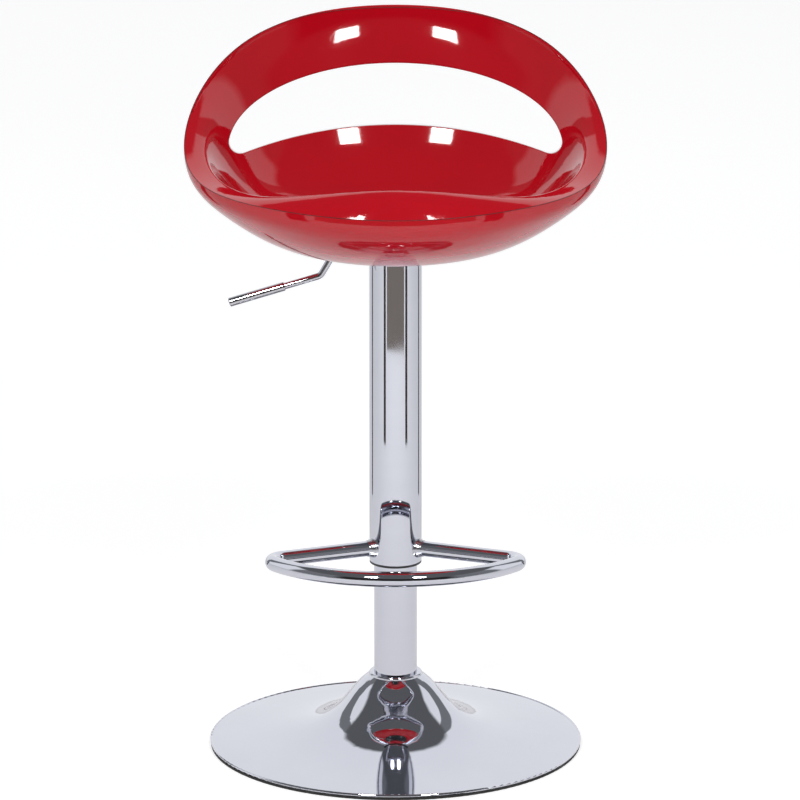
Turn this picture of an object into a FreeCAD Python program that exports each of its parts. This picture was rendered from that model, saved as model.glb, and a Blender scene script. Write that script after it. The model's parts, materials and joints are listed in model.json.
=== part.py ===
import FreeCAD, Part

import math
import os

# Adjustable swivel bar stool: a moulded bowl seat with a crescent opening in its back, a chromed
# column that telescopes on a gas spring, a D-shaped footrest and a spun trumpet base.
# Millimetres, +Z up. The origin is on the floor under the column. The sitter faces -Y.
# The stool is drawn at its lowest seat height.

# ---- driving dimensions: base ----
BASE_DIAMETER = 385.0
FLOOR_RING_HEIGHT = 3.0
FLOOR_RING_WIDTH = 54.0
FLOOR_RING_INSET = 0.6
FLOOR_RING_ROUND = 0.8
COVER_THICKNESS = 1.5
COVER_NECK_HEIGHT = 75.5
COVER_BEAD_RADIUS = 1.6
BASE_PLATE_THICKNESS = 4.0
BASE_PLATE_MARGIN = 46.0
HUB_WALL = 4.0
HUB_HEIGHT = 52.0
GUSSET_COUNT = 4
GUSSET_THICKNESS = 4.0
GUSSET_REACH = 34.0
GUSSET_HEIGHT = 22.0
GUSSET_TOE = 4.0
TRIM_RING_WIDTH = 5.4
TRIM_RING_HEIGHT = 6.0

# ---- driving dimensions: column ----
STANDPIPE_DIAMETER = 44.5
STANDPIPE_WALL = 2.0
STANDPIPE_FLOOR_THICKNESS = 4.0
SLEEVE_GAP = 3.25
SLEEVE_WALL = 1.5
SLEEVE_BOTTOM = 199.5
SLEEVE_TOP = 523.0
SLEEVE_BUSH_LENGTH = 18.0
SLEEVE_BUSH_FLANGE = 2.5
SLEEVE_BUSH_INSET = 0.2
GUIDE_BUSH_LENGTH = 40.0
GUIDE_BUSH_FLANGE = 3.0
GUIDE_BUSH_INSET = 0.5
GUIDE_BUSH_HEADROOM = 12.0
SLEEVE_CAP_DEPTH = 8.0
SLEEVE_CAP_THICKNESS = 4.0

# ---- driving dimensions: gas spring and thrust bearing ----
LIFT_STROKE = 210.0
CYLINDER_DIAMETER = 28.0
CYLINDER_WALL = 2.0
ROD_DIAMETER = 10.0
ROD_GUIDE_LENGTH = 18.0
PISTON_LENGTH = 14.0
PISTON_MARGIN = 16.0
SEAL_THICKNESS = 3.0
VALVE_BODY_LENGTH = 30.0
VALVE_PIN_DIAMETER = 6.0
VALVE_PIN_PROUD = 11.5
VALVE_PIN_ROUND = 1.0
VALVE_PIN_HEAD = 9.0
VALVE_PIN_RISE = 2.0
VALVE_PIN_PLAY = 3.0
VALVE_CHAMBER_DEPTH = 11.0
BALL_COUNT = 12
BALL_RADIUS = 2.5
BALL_PROUD = 1.25
CAGE_THICKNESS = 1.4
CAGE_INSET = 0.36
RACE_THICKNESS = 3.0
RACE_WIDTH = 9.0
ROD_COLLAR_DIAMETER = 16.0
ROD_COLLAR_HEIGHT = 3.0
CLIP_THICKNESS = 1.2
CLIP_DIAMETER = 17.0
CLIP_GROOVE_DEPTH = 1.0
CLIP_HEADROOM = 4.0
ROD_END = 1.5
ROD_WASHER_RIM = 1.5
BUMPER_DIAMETER = 26.0
BUMPER_HEIGHT = 18.0
BUMPER_ROUND = 2.0

# ---- driving dimensions: footrest ----
FOOTREST_TUBE = 16.0
FOOTREST_HEIGHT = 214.0
FOOTREST_REACH = 152.0
FOOTREST_ARC_RADIUS = 147.0
FOOTREST_CORNER_RADIUS = 18.0
FOOTREST_BAR_ANGLE = 27.0
FOOTREST_TILT = 4.0
WELD_SIZE = 3.0
WELD_LENGTH = 6.6
WELD_TOE = 0.2

# ---- driving dimensions: seat mechanism ----
PLATE_THICKNESS = 3.0
PLATE_EDGE = 16.0
SOCKET_WALL = 4.0
SOCKET_DEPTH = 56.0
BOLT_CIRCLE = 116.0
BOLT_COUNT = 4
BOLT_DIAMETER = 6.0
BOLT_LENGTH = 16.0
BOLT_HEAD_WIDTH = 10.0
BOLT_HEAD_HEIGHT = 3.6
LOCK_WASHER_THICKNESS = 1.2
LOCK_WASHER_RIM = 0.8
INSERT_DIAMETER = 9.0
INSERT_ROOF = 1.0
LEVER_DIAMETER = 7.0
LEVER_GRIP_DIAMETER = 9.6
LEVER_GRIP_ROUND = 1.5
LEVER_BEND_RADIUS = 8.4
LEVER_BOSS_WALL = 1.2
LEVER_PIVOT_MARGIN = 8.0
LEVER_HEADROOM = 7.5
LEVER_SIDE_PLAY = 0.8
LEVER_RUN = 62.0
LEVER_DROP = 26.0
LEVER_DROP_ANGLE = 60.0
LEVER_REACH = 171.0
LEVER_SLOPE_ANGLE = 17.0
LEVER_GRIP_LENGTH = 60.0
LEVER_PIVOT_PIN = 5.0
LEVER_PIN_PROUD = 1.5
LEVER_SLOT_PLAY = 2.5
LEVER_SLOT_DROP = 3.0
CHEEK_THICKNESS = 2.5
CHEEK_WIDTH = 12.0

# ---- driving dimensions: seat shells ----
SEAT_WIDTH = 433.0
SEAT_DEPTH = 366.0
SEAT_CENTRE_Y = -5.0
SHELL_WALL = 3.0
BOWL_BELOW_PLATE = 4.0
RECESS_CLEARANCE = 3.0
BOSS_WALL = 3.0
PAN_ABOVE_PLATE = 18.0
OPENING_TILT = 14.0
OPENING_SIDE_MARGIN = 44.5
OPENING_ARCH_HEIGHT = 89.0
OPENING_TOP_ABOVE_PAN = 165.3
OPENING_BOTTOM_RADIUS = 440.0
OPENING_BOTTOM_ABOVE_PAN = 99.7
OPENING_TIP_RADIUS = 12.0
OPENING_EDGE_RADIUS = 1.2

# ---- clearances ----
RUNNING_FIT = 0.05
BALL_TRACK_GAP = 0.05
VALVE_PIN_GAP = 0.1
RACE_CLEARANCE = 0.6
ROD_HOLE_CLEARANCE = 2.0
BODY_GAP = 0.3

# ---- levels and radii that follow from them ----
PLATE_LEVEL = FLOOR_RING_HEIGHT
HUB_LEVEL = PLATE_LEVEL + BASE_PLATE_THICKNESS
STANDPIPE_RADIUS = STANDPIPE_DIAMETER / 2
STANDPIPE_BORE = STANDPIPE_RADIUS - STANDPIPE_WALL
SLEEVE_BORE = STANDPIPE_RADIUS + SLEEVE_GAP
SLEEVE_RADIUS = SLEEVE_BORE + SLEEVE_WALL
CYLINDER_RADIUS = CYLINDER_DIAMETER / 2
CYLINDER_BORE = CYLINDER_RADIUS - CYLINDER_WALL
ROD_RADIUS = ROD_DIAMETER / 2
CLIP_LEVEL = HUB_LEVEL + CLIP_HEADROOM
STANDPIPE_FLOOR_LEVEL = CLIP_LEVEL + 2 * CLIP_THICKNESS + BODY_GAP
RACE_LEVEL = STANDPIPE_FLOOR_LEVEL + STANDPIPE_FLOOR_THICKNESS
BALL_LEVEL = RACE_LEVEL + RACE_THICKNESS + BALL_PROUD
UPPER_RACE_LEVEL = 2 * BALL_LEVEL - RACE_LEVEL - RACE_THICKNESS
ROD_COLLAR_LEVEL = UPPER_RACE_LEVEL + RACE_THICKNESS
BUMPER_LEVEL = ROD_COLLAR_LEVEL + ROD_COLLAR_HEIGHT
CYLINDER_BOTTOM = BUMPER_LEVEL + BUMPER_HEIGHT + BODY_GAP
PISTON_LEVEL = CYLINDER_BOTTOM + ROD_GUIDE_LENGTH + SEAL_THICKNESS + LIFT_STROKE + PISTON_MARGIN
LEVER_LEVEL = SLEEVE_TOP + LEVER_DIAMETER
PLATE_BOTTOM = LEVER_LEVEL + LEVER_DIAMETER / 2 + LEVER_HEADROOM
SOCKET_BOTTOM = PLATE_BOTTOM - SOCKET_DEPTH
STANDPIPE_TOP = SOCKET_BOTTOM - GUIDE_BUSH_HEADROOM - GUIDE_BUSH_FLANGE
VALVE_PIN_TOP = LEVER_LEVEL - LEVER_DIAMETER / 2 - VALVE_PIN_GAP
CYLINDER_TOP = VALVE_PIN_TOP - VALVE_PIN_PROUD
SOCKET_RADIUS = CYLINDER_RADIUS + SOCKET_WALL
RACE_BORE = ROD_RADIUS + RACE_CLEARANCE
BALL_CIRCLE = RACE_BORE + RACE_WIDTH / 2
LEVER_PIVOT_OFFSET = SOCKET_RADIUS + LEVER_PIVOT_MARGIN
CHEEK_SPACING = LEVER_DIAMETER + 2 * LEVER_SIDE_PLAY
FOOTREST_ROOT = SLEEVE_BORE * 0.9
PLATE_RADIUS = BOLT_CIRCLE / 2 + PLATE_EDGE
RECESS_RADIUS = PLATE_RADIUS + RECESS_CLEARANCE
RECESS_CEILING = PLATE_BOTTOM + PLATE_THICKNESS
BOWL_BOTTOM = PLATE_BOTTOM - BOWL_BELOW_PLATE
PAN_HEIGHT = RECESS_CEILING + PAN_ABOVE_PLATE
OPENING_TOP = PAN_HEIGHT + OPENING_TOP_ABOVE_PAN
OPENING_BOTTOM = PAN_HEIGHT + OPENING_BOTTOM_ABOVE_PAN
UP = FreeCAD.Vector(0, 0, 1)


def vec(x, y, z):
    return FreeCAD.Vector(x, y, z)


def export(shape, name):
    """Write one sub-part to its own file and print what it holds."""
    shape.exportStep(os.path.join("parts", name + ".step"))
    print(name, len(shape.Solids), "solid(s)", round(shape.Volume / 1000.0, 2), "cm3", shape.isValid())


def disc(radius, bottom, height, x=0.0, y=0.0):
    return Part.makeCylinder(radius, height, vec(x, y, bottom))


def ring(outer, inner, bottom, height):
    return disc(outer, bottom, height).cut(disc(inner, bottom - 1, height + 2))


def merged(shape):
    """The shape with its split faces joined, facing outwards."""
    joined = shape.removeSplitter()
    return joined.reversed() if joined.Volume < 0 else joined


def rounded(shape, radius, chooser):
    """Fillet the edges that the chooser picks."""
    edges = [edge for edge in shape.Edges if chooser(edge)]
    return shape.makeFillet(radius, edges)


def round_edge_at(height, radius, tolerance=0.01):
    """Chooser for the full circles of one radius at one height."""
    def choose(edge):
        curve = edge.Curve
        if not isinstance(curve, Part.Circle):
            return False
        return abs(curve.Center.z - height) < tolerance and abs(curve.Radius - radius) < tolerance
    return choose


# ---------------------------------------------------------------- base

# The cover's outline from neck to rim, as shares of its radial span and of its height.
COVER_OUTLINE = ((0.0, 1.0), (0.075, 0.845), (0.14, 0.66), (0.215, 0.46), (0.33, 0.27),
                 (0.50, 0.145), (0.74, 0.06), (1.0, 0.0))


def cover_point(share_out, share_up):
    neck = STANDPIPE_RADIUS + TRIM_RING_WIDTH
    rim = BASE_DIAMETER / 2 - COVER_BEAD_RADIUS
    rim_level = FLOOR_RING_HEIGHT + COVER_BEAD_RADIUS + COVER_THICKNESS / 2
    return vec(neck + share_out * (rim - neck), 0, rim_level + share_up * (COVER_NECK_HEIGHT - rim_level))


def base_cover():
    """Spun trumpet: a thin concave shell with a rolled bead at the rim."""
    points = [cover_point(out, up) for out, up in COVER_OUTLINE]
    top = Part.BSplineCurve()
    top.interpolate(points)
    inside = []
    for point in points:
        along = top.tangent(top.parameter(point))[0]
        inside.append(point + vec(along.z, 0, -along.x).normalize() * COVER_THICKNESS)
    under = Part.BSplineCurve()
    under.interpolate(inside)
    edges = [top.toShape(), under.toShape(), Part.makeLine(points[0], inside[0]),
             Part.makeLine(points[-1], inside[-1])]
    outline = Part.Wire(Part.__sortEdges__(edges))
    shell = Part.Face(outline).revolve(vec(0, 0, 0), UP, 360)
    bead = Part.makeTorus(BASE_DIAMETER / 2 - COVER_BEAD_RADIUS, COVER_BEAD_RADIUS,
                          vec(0, 0, FLOOR_RING_HEIGHT + COVER_BEAD_RADIUS))
    return shell.fuse(bead)


def floor_ring():
    """Black rubber ring that the base stands on."""
    outer = BASE_DIAMETER / 2 - FLOOR_RING_INSET
    shape = ring(outer, outer - FLOOR_RING_WIDTH, 0, FLOOR_RING_HEIGHT)
    return rounded(shape, FLOOR_RING_ROUND, round_edge_at(0, outer))


def base_plate():
    """Steel disc under the cover, which gives the stool its weight."""
    radius = BASE_DIAMETER / 2 - BASE_PLATE_MARGIN
    plate = disc(radius, PLATE_LEVEL, BASE_PLATE_THICKNESS)
    return plate.cut(disc(ROD_RADIUS + ROD_HOLE_CLEARANCE, PLATE_LEVEL - 1, BASE_PLATE_THICKNESS + 2))


def base_hub():
    """Tube welded to the plate, which holds the foot of the standpipe."""
    return ring(STANDPIPE_RADIUS + HUB_WALL, STANDPIPE_RADIUS, HUB_LEVEL, HUB_HEIGHT)


def base_gussets():
    """Triangular ribs between the hub and the plate."""
    inner = STANDPIPE_RADIUS + HUB_WALL
    ribs = []
    for index in range(GUSSET_COUNT):
        corners = [vec(inner - 1, 0, HUB_LEVEL),
                   vec(inner + GUSSET_REACH, 0, HUB_LEVEL),
                   vec(inner + GUSSET_REACH, 0, HUB_LEVEL + GUSSET_TOE),
                   vec(inner, 0, HUB_LEVEL + GUSSET_HEIGHT),
                   vec(inner - 1, 0, HUB_LEVEL + GUSSET_HEIGHT)]
        face = Part.Face(Part.makePolygon(corners + corners[:1]))
        face.translate(vec(0, -GUSSET_THICKNESS / 2, 0))
        rib = face.extrude(vec(0, GUSSET_THICKNESS, 0))
        rib.rotate(vec(0, 0, 0), UP, 45 + 360 * index / GUSSET_COUNT)
        ribs.append(rib.cut(disc(inner, HUB_LEVEL - 1, HUB_HEIGHT)))
    return Part.makeCompound(ribs)


def trim_ring():
    """Polished bead that closes the gap between the cover and the standpipe."""
    inner = STANDPIPE_RADIUS + RUNNING_FIT
    outer = STANDPIPE_RADIUS + TRIM_RING_WIDTH
    low = COVER_NECK_HEIGHT - TRIM_RING_HEIGHT / 2
    shape = ring(outer, inner, low, TRIM_RING_HEIGHT)
    shape = shape.cut(base_cover())
    top = low + TRIM_RING_HEIGHT
    return rounded(shape, TRIM_RING_WIDTH * 0.4, round_edge_at(top, outer))


# ---------------------------------------------------------------- column

def standpipe():
    """Chromed tube fixed in the hub, which the sleeve slides over."""
    return ring(STANDPIPE_RADIUS, STANDPIPE_BORE, HUB_LEVEL, STANDPIPE_TOP - HUB_LEVEL)


def standpipe_floor():
    """Steel disc welded inside the foot of the standpipe, which carries the thrust bearing."""
    bore = ROD_RADIUS + RUNNING_FIT
    return ring(STANDPIPE_BORE, bore, STANDPIPE_FLOOR_LEVEL, STANDPIPE_FLOOR_THICKNESS)


def guide_bush():
    """Nylon bush in the top of the standpipe, which guides the gas cylinder."""
    bore = CYLINDER_RADIUS + RUNNING_FIT
    plug = ring(STANDPIPE_BORE, bore, STANDPIPE_TOP - GUIDE_BUSH_LENGTH, GUIDE_BUSH_LENGTH)
    flange = ring(STANDPIPE_RADIUS - GUIDE_BUSH_INSET, bore, STANDPIPE_TOP, GUIDE_BUSH_FLANGE)
    return merged(plug.fuse(flange))


def footrest_sleeve():
    """Outer chromed tube, which rises and turns with the seat."""
    return ring(SLEEVE_RADIUS, SLEEVE_BORE, SLEEVE_BOTTOM, SLEEVE_TOP - SLEEVE_BOTTOM)


def sleeve_bush():
    """Black nylon bush at the foot of the sleeve, which runs on the standpipe."""
    bore = STANDPIPE_RADIUS + RUNNING_FIT
    plug = ring(SLEEVE_BORE, bore, SLEEVE_BOTTOM, SLEEVE_BUSH_LENGTH)
    low = SLEEVE_BOTTOM - SLEEVE_BUSH_FLANGE
    flange = ring(SLEEVE_RADIUS - SLEEVE_BUSH_INSET, bore, low, SLEEVE_BUSH_FLANGE)
    return merged(plug.fuse(flange))


def sleeve_cap():
    """Steel ring that joins the top of the sleeve to the cylinder socket."""
    return ring(SLEEVE_BORE, SOCKET_RADIUS, SLEEVE_TOP - SLEEVE_CAP_DEPTH, SLEEVE_CAP_THICKNESS)


# ---------------------------------------------------------------- gas spring

def gas_cylinder():
    """Tube of the gas spring, which slides and turns in the guide bush."""
    return ring(CYLINDER_RADIUS, CYLINDER_BORE, CYLINDER_BOTTOM, CYLINDER_TOP - CYLINDER_BOTTOM)


def rod_guide():
    """Plug in the mouth of the cylinder, which the rod slides through."""
    return ring(CYLINDER_BORE, ROD_RADIUS + RUNNING_FIT, CYLINDER_BOTTOM, ROD_GUIDE_LENGTH)


def rod_seal():
    bore = ROD_RADIUS + RUNNING_FIT
    return ring(CYLINDER_BORE, bore, CYLINDER_BOTTOM + ROD_GUIDE_LENGTH, SEAL_THICKNESS)


def valve_body():
    """Plug in the top of the cylinder, with the bore that the release pin slides in."""
    low = CYLINDER_TOP - VALVE_BODY_LENGTH
    plug = ring(CYLINDER_BORE, VALVE_PIN_DIAMETER / 2 + RUNNING_FIT, low, VALVE_BODY_LENGTH)
    chamber = disc(VALVE_PIN_DIAMETER, low - 1, VALVE_CHAMBER_DEPTH + 1)
    return plug.cut(chamber)


def valve_pin():
    """Release pin, with a head inside the valve body."""
    low = CYLINDER_TOP - VALVE_BODY_LENGTH + VALVE_PIN_RISE
    stem = disc(VALVE_PIN_DIAMETER / 2, low, VALVE_PIN_TOP - low)
    stem = rounded(stem, VALVE_PIN_ROUND, round_edge_at(VALVE_PIN_TOP, VALVE_PIN_DIAMETER / 2))
    head_height = VALVE_CHAMBER_DEPTH - VALVE_PIN_RISE - VALVE_PIN_PLAY - BODY_GAP
    return merged(stem.fuse(disc(VALVE_PIN_HEAD / 2, low, head_height)))


def piston_rod():
    """Rod that hangs on the thrust bearing, with a collar above it and a clip groove below it."""
    low = CLIP_LEVEL - ROD_END
    shank = disc(ROD_RADIUS, low, PISTON_LEVEL + PISTON_LENGTH - low)
    shank = shank.cut(ring(ROD_RADIUS + 1, ROD_RADIUS - CLIP_GROOVE_DEPTH, CLIP_LEVEL, CLIP_THICKNESS))
    collar = disc(ROD_COLLAR_DIAMETER / 2, ROD_COLLAR_LEVEL, ROD_COLLAR_HEIGHT)
    return merged(shank.fuse(collar))


def piston():
    return ring(CYLINDER_BORE - RUNNING_FIT, ROD_RADIUS, PISTON_LEVEL, PISTON_LENGTH)


def rod_clip():
    """Spring clip in the groove of the rod, open on one side."""
    clip = ring(CLIP_DIAMETER / 2, ROD_RADIUS - CLIP_GROOVE_DEPTH, CLIP_LEVEL, CLIP_THICKNESS)
    mouth = Part.makeBox(CLIP_DIAMETER, ROD_DIAMETER * 0.5, CLIP_THICKNESS + 2,
                         vec(0, -ROD_DIAMETER * 0.25, CLIP_LEVEL - 1))
    return clip.cut(mouth)


def rod_washer():
    return ring(CLIP_DIAMETER / 2 + ROD_WASHER_RIM, ROD_RADIUS, CLIP_LEVEL + CLIP_THICKNESS, CLIP_THICKNESS)


def ball_track():
    return Part.makeTorus(BALL_CIRCLE, BALL_RADIUS + BALL_TRACK_GAP, vec(0, 0, BALL_LEVEL))


def lower_race():
    """Fixed ring of the thrust bearing; the rod passes through it with room to spare."""
    return ring(RACE_BORE + RACE_WIDTH, RACE_BORE, RACE_LEVEL, RACE_THICKNESS).cut(ball_track())


def upper_race():
    """Turning ring of the thrust bearing, a push fit on the rod."""
    return ring(RACE_BORE + RACE_WIDTH, ROD_RADIUS, UPPER_RACE_LEVEL, RACE_THICKNESS).cut(ball_track())


def on_ball_circle(make):
    """Copies of one shape on every ball's place."""
    copies = []
    for index in range(BALL_COUNT):
        angle = 2 * math.pi * index / BALL_COUNT
        shape = make()
        shape.translate(vec(BALL_CIRCLE * math.cos(angle), BALL_CIRCLE * math.sin(angle), BALL_LEVEL))
        copies.append(shape)
    return copies


def thrust_balls():
    return Part.makeCompound(on_ball_circle(lambda: Part.makeSphere(BALL_RADIUS)))


def ball_cage():
    """Thin ring with a pocket for each ball."""
    half_width = RACE_WIDTH / 2 - CAGE_INSET
    low = BALL_LEVEL - CAGE_THICKNESS / 2
    cage = ring(BALL_CIRCLE + half_width, BALL_CIRCLE - half_width, low, CAGE_THICKNESS)
    for pocket in on_ball_circle(lambda: Part.makeSphere(BALL_RADIUS)):
        cage = cage.cut(pocket)
    return cage


def bumper():
    """Rubber stop that the cylinder lands on at the lowest height."""
    shape = ring(BUMPER_DIAMETER / 2, ROD_RADIUS, BUMPER_LEVEL, BUMPER_HEIGHT)
    return rounded(shape, BUMPER_ROUND, round_edge_at(BUMPER_LEVEL + BUMPER_HEIGHT, BUMPER_DIAMETER / 2))


# ---------------------------------------------------------------- footrest

def footrest_place(across, forward):
    """A point of the footrest's plane, which rises a little towards the front."""
    tilt = math.radians(FOOTREST_TILT)
    return vec(across, -forward * math.cos(tilt), FOOTREST_HEIGHT + forward * math.sin(tilt))


def footrest_line():
    """Right half of the tube's centreline: a straight bar, a corner arc and half of the front arc."""
    bar = math.radians(FOOTREST_BAR_ANGLE)
    centre = FOOTREST_REACH - FOOTREST_ARC_RADIUS
    start = (FOOTREST_ROOT * math.cos(bar), FOOTREST_ROOT * math.sin(bar))
    normal = (-math.sin(bar), math.cos(bar))
    # The corner's centre lies one corner radius off the bar, and its arc touches the front arc inside.
    offset = (start[0] + FOOTREST_CORNER_RADIUS * normal[0],
              start[1] + FOOTREST_CORNER_RADIUS * normal[1] - centre)
    reach = FOOTREST_ARC_RADIUS - FOOTREST_CORNER_RADIUS
    along = offset[0] * math.cos(bar) + offset[1] * math.sin(bar)
    square = offset[0] ** 2 + offset[1] ** 2 - reach ** 2
    length = -along + math.sqrt(along ** 2 - square)
    bar_end = (start[0] + length * math.cos(bar), start[1] + length * math.sin(bar))
    corner = (bar_end[0] + FOOTREST_CORNER_RADIUS * normal[0],
              bar_end[1] + FOOTREST_CORNER_RADIUS * normal[1])
    out = math.atan2(corner[1] - centre, corner[0])
    arc_start = (FOOTREST_ARC_RADIUS * math.cos(out), centre + FOOTREST_ARC_RADIUS * math.sin(out))
    middle_angle = (bar - math.pi / 2 + out) / 2
    corner_middle = (corner[0] + FOOTREST_CORNER_RADIUS * math.cos(middle_angle),
                     corner[1] + FOOTREST_CORNER_RADIUS * math.sin(middle_angle))
    return start, bar_end, corner_middle, arc_start, centre


def footrest_path():
    start, bar_end, corner_middle, arc_start, centre = footrest_line()
    front = footrest_place(0, centre + FOOTREST_ARC_RADIUS)

    def side(sign):
        return [footrest_place(sign * across, forward)
                for across, forward in (start, bar_end, corner_middle, arc_start)]

    right = side(1)
    left = side(-1)
    edges = [Part.makeLine(right[0], right[1]), Part.Arc(right[1], right[2], right[3]).toShape(),
             Part.Arc(right[3], front, left[3]).toShape(), Part.Arc(left[3], left[2], left[1]).toShape(),
             Part.makeLine(left[1], left[0])]
    return Part.Wire(edges), right


def footrest_ring():
    """D-shaped footrest, one bent tube whose ends are coped to the sleeve."""
    path, right = footrest_path()
    section = Part.Wire(Part.makeCircle(FOOTREST_TUBE / 2, right[0], right[1] - right[0]))
    tube = path.makePipeShell([section], True, False)
    return tube.cut(disc(SLEEVE_RADIUS, 0, SLEEVE_TOP))


def footrest_welds():
    """A weld bead round each end of the tube."""
    path, right = footrest_path()
    along = (right[1] - right[0]).normalize()
    beads = []
    for sign in (1, -1):
        direction = vec(sign * along.x, along.y, along.z)
        root = vec(sign * right[0].x, right[0].y, right[0].z)
        length = SLEEVE_RADIUS - FOOTREST_ROOT + WELD_LENGTH
        tube = FOOTREST_TUBE / 2
        cone = Part.makeCone(tube + WELD_SIZE, tube + WELD_TOE, length, root, direction)
        bar = Part.makeCylinder(tube, FOOTREST_ARC_RADIUS, root - direction * WELD_SIZE, direction)
        beads.append(cone.cut(bar).cut(disc(SLEEVE_RADIUS, 0, SLEEVE_TOP)))
    return Part.makeCompound(beads)


# ---------------------------------------------------------------- seat mechanism

def bolt_places():
    places = []
    for index in range(BOLT_COUNT):
        angle = math.radians(45 + 360 * index / BOLT_COUNT)
        places.append((BOLT_CIRCLE / 2 * math.cos(angle), BOLT_CIRCLE / 2 * math.sin(angle)))
    return places


def seat_plate():
    """Round steel plate under the seat, drilled for the bolts."""
    plate = disc(PLATE_RADIUS, PLATE_BOTTOM, PLATE_THICKNESS)
    for x, y in bolt_places():
        plate = plate.cut(disc(BOLT_DIAMETER / 2, PLATE_BOTTOM - 1, PLATE_THICKNESS + 2, x, y))
    return plate


def lever_slot(width, low):
    """Space through the socket's left wall, from a level up to the plate, which the lever swings in."""
    return Part.makeBox(SLEEVE_RADIUS + SOCKET_RADIUS, width, PLATE_BOTTOM - low,
                        vec(-SLEEVE_RADIUS - SOCKET_RADIUS, -width / 2, low))


def cylinder_socket():
    """Tube under the plate that grips the top of the gas cylinder."""
    tube = ring(SOCKET_RADIUS, CYLINDER_RADIUS, SOCKET_BOTTOM, SOCKET_DEPTH)
    low = LEVER_LEVEL - LEVER_DIAMETER / 2 - LEVER_SLOT_DROP
    return tube.cut(lever_slot(LEVER_DIAMETER + 2 * LEVER_SLOT_PLAY, low))


def lever_cheeks():
    """Pair of lugs welded under the plate, which hold the lever's pin."""
    low = LEVER_LEVEL - LEVER_PIVOT_PIN
    cheeks = []
    for y in (CHEEK_SPACING / 2, -CHEEK_SPACING / 2 - CHEEK_THICKNESS):
        corner = vec(-LEVER_PIVOT_OFFSET - CHEEK_WIDTH / 2, y, low)
        cheeks.append(Part.makeBox(CHEEK_WIDTH, CHEEK_THICKNESS, PLATE_BOTTOM - low, corner))
    pair = Part.makeCompound(cheeks).cut(pivot_bar(LEVER_PIVOT_PIN / 2, 4 * CHEEK_SPACING))
    return pair.cut(disc(SOCKET_RADIUS, 0, PLATE_BOTTOM))


def pivot_bar(radius, length):
    """Bar across the lever's pivot."""
    return Part.makeCylinder(radius, length, vec(-LEVER_PIVOT_OFFSET, -length / 2, LEVER_LEVEL), vec(0, 1, 0))


def lever_pin():
    """Pin across the cheeks, which the lever turns on."""
    return pivot_bar(LEVER_PIVOT_PIN / 2, CHEEK_SPACING + 2 * (CHEEK_THICKNESS + LEVER_PIN_PROUD))


def lever_points():
    """Bends of the lever's centreline, from over the release pin to the tip of the grip."""
    drop = math.radians(LEVER_DROP_ANGLE)
    slope = math.radians(LEVER_SLOPE_ANGLE)
    inner = vec(VALVE_PIN_DIAMETER / 2 + VALVE_PIN_ROUND, 0, LEVER_LEVEL)
    first = vec(-LEVER_RUN, 0, LEVER_LEVEL)
    second = vec(-LEVER_RUN - LEVER_DROP / math.tan(drop), 0, LEVER_LEVEL - LEVER_DROP)
    rest = LEVER_REACH + second.x
    tip = vec(-LEVER_REACH, 0, second.z - rest * math.tan(slope))
    return inner, first, second, tip


def bent_path(points, radius):
    """Wire of straight runs joined by arcs of one bend radius."""
    edges = []
    begin = points[0]
    for before, here, after in zip(points, points[1:], points[2:]):
        back = (before - here).normalize()
        ahead = (after - here).normalize()
        half = back.getAngle(ahead) / 2
        start = here + back * (radius / math.tan(half))
        end = here + ahead * (radius / math.tan(half))
        centre = here + (back + ahead).normalize() * (radius / math.sin(half))
        middle = centre + (here - centre).normalize() * radius
        edges.append(Part.makeLine(begin, start))
        edges.append(Part.Arc(start, middle, end).toShape())
        begin = end
    edges.append(Part.makeLine(begin, points[-1]))
    return Part.Wire(edges)


def lever_rod():
    """Chromed rod: flat run to the release pin, a drop past the seat, and a sloping handle."""
    points = lever_points()
    grip_start = points[3] + (points[2] - points[3]).normalize() * LEVER_GRIP_LENGTH
    path = bent_path([points[0], points[1], points[2], grip_start], LEVER_BEND_RADIUS)
    section = Part.Wire(Part.makeCircle(LEVER_DIAMETER / 2, points[0], points[1] - points[0]))
    rod = path.makePipeShell([section], True, False)
    boss = pivot_bar(LEVER_DIAMETER / 2 + LEVER_BOSS_WALL, LEVER_DIAMETER)
    return rod.fuse(boss).cut(pivot_bar(LEVER_PIVOT_PIN / 2 + RUNNING_FIT, 4 * CHEEK_SPACING))


def lever_grip():
    """Turned end of the lever, thicker than the rod, with rounded ends."""
    points = lever_points()
    along = (points[3] - points[2]).normalize()
    start = points[3] - along * LEVER_GRIP_LENGTH
    grip = Part.makeCylinder(LEVER_GRIP_DIAMETER / 2, LEVER_GRIP_LENGTH, start, along)
    return rounded(grip, LEVER_GRIP_ROUND, lambda edge: isinstance(edge.Curve, Part.Circle))


def hexagon(width, bottom, height, x, y):
    """Upright prism with this width across its flats."""
    radius = width / math.sqrt(3)
    corners = []
    for corner in range(7):
        angle = math.radians(60 * corner)
        corners.append(vec(x + radius * math.cos(angle), y + radius * math.sin(angle), bottom))
    return Part.Face(Part.makePolygon(corners)).extrude(vec(0, 0, height))


def seat_bolts():
    """Hexagon bolts from below, through the plate into the seat's threaded inserts."""
    bolts = []
    under_head = PLATE_BOTTOM - LOCK_WASHER_THICKNESS
    for x, y in bolt_places():
        head = hexagon(BOLT_HEAD_WIDTH, under_head - BOLT_HEAD_HEIGHT, BOLT_HEAD_HEIGHT, x, y)
        shank = disc(BOLT_DIAMETER / 2, under_head, BOLT_LENGTH, x, y)
        bolts.append(merged(head.fuse(shank)))
    return Part.makeCompound(bolts)


def lock_washers():
    washers = []
    for x, y in bolt_places():
        low = PLATE_BOTTOM - LOCK_WASHER_THICKNESS
        outer = disc(BOLT_HEAD_WIDTH / 2 + LOCK_WASHER_RIM, low, LOCK_WASHER_THICKNESS, x, y)
        washers.append(outer.cut(disc(BOLT_DIAMETER / 2, low - 1, LOCK_WASHER_THICKNESS + 2, x, y)))
    return Part.makeCompound(washers)


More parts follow.
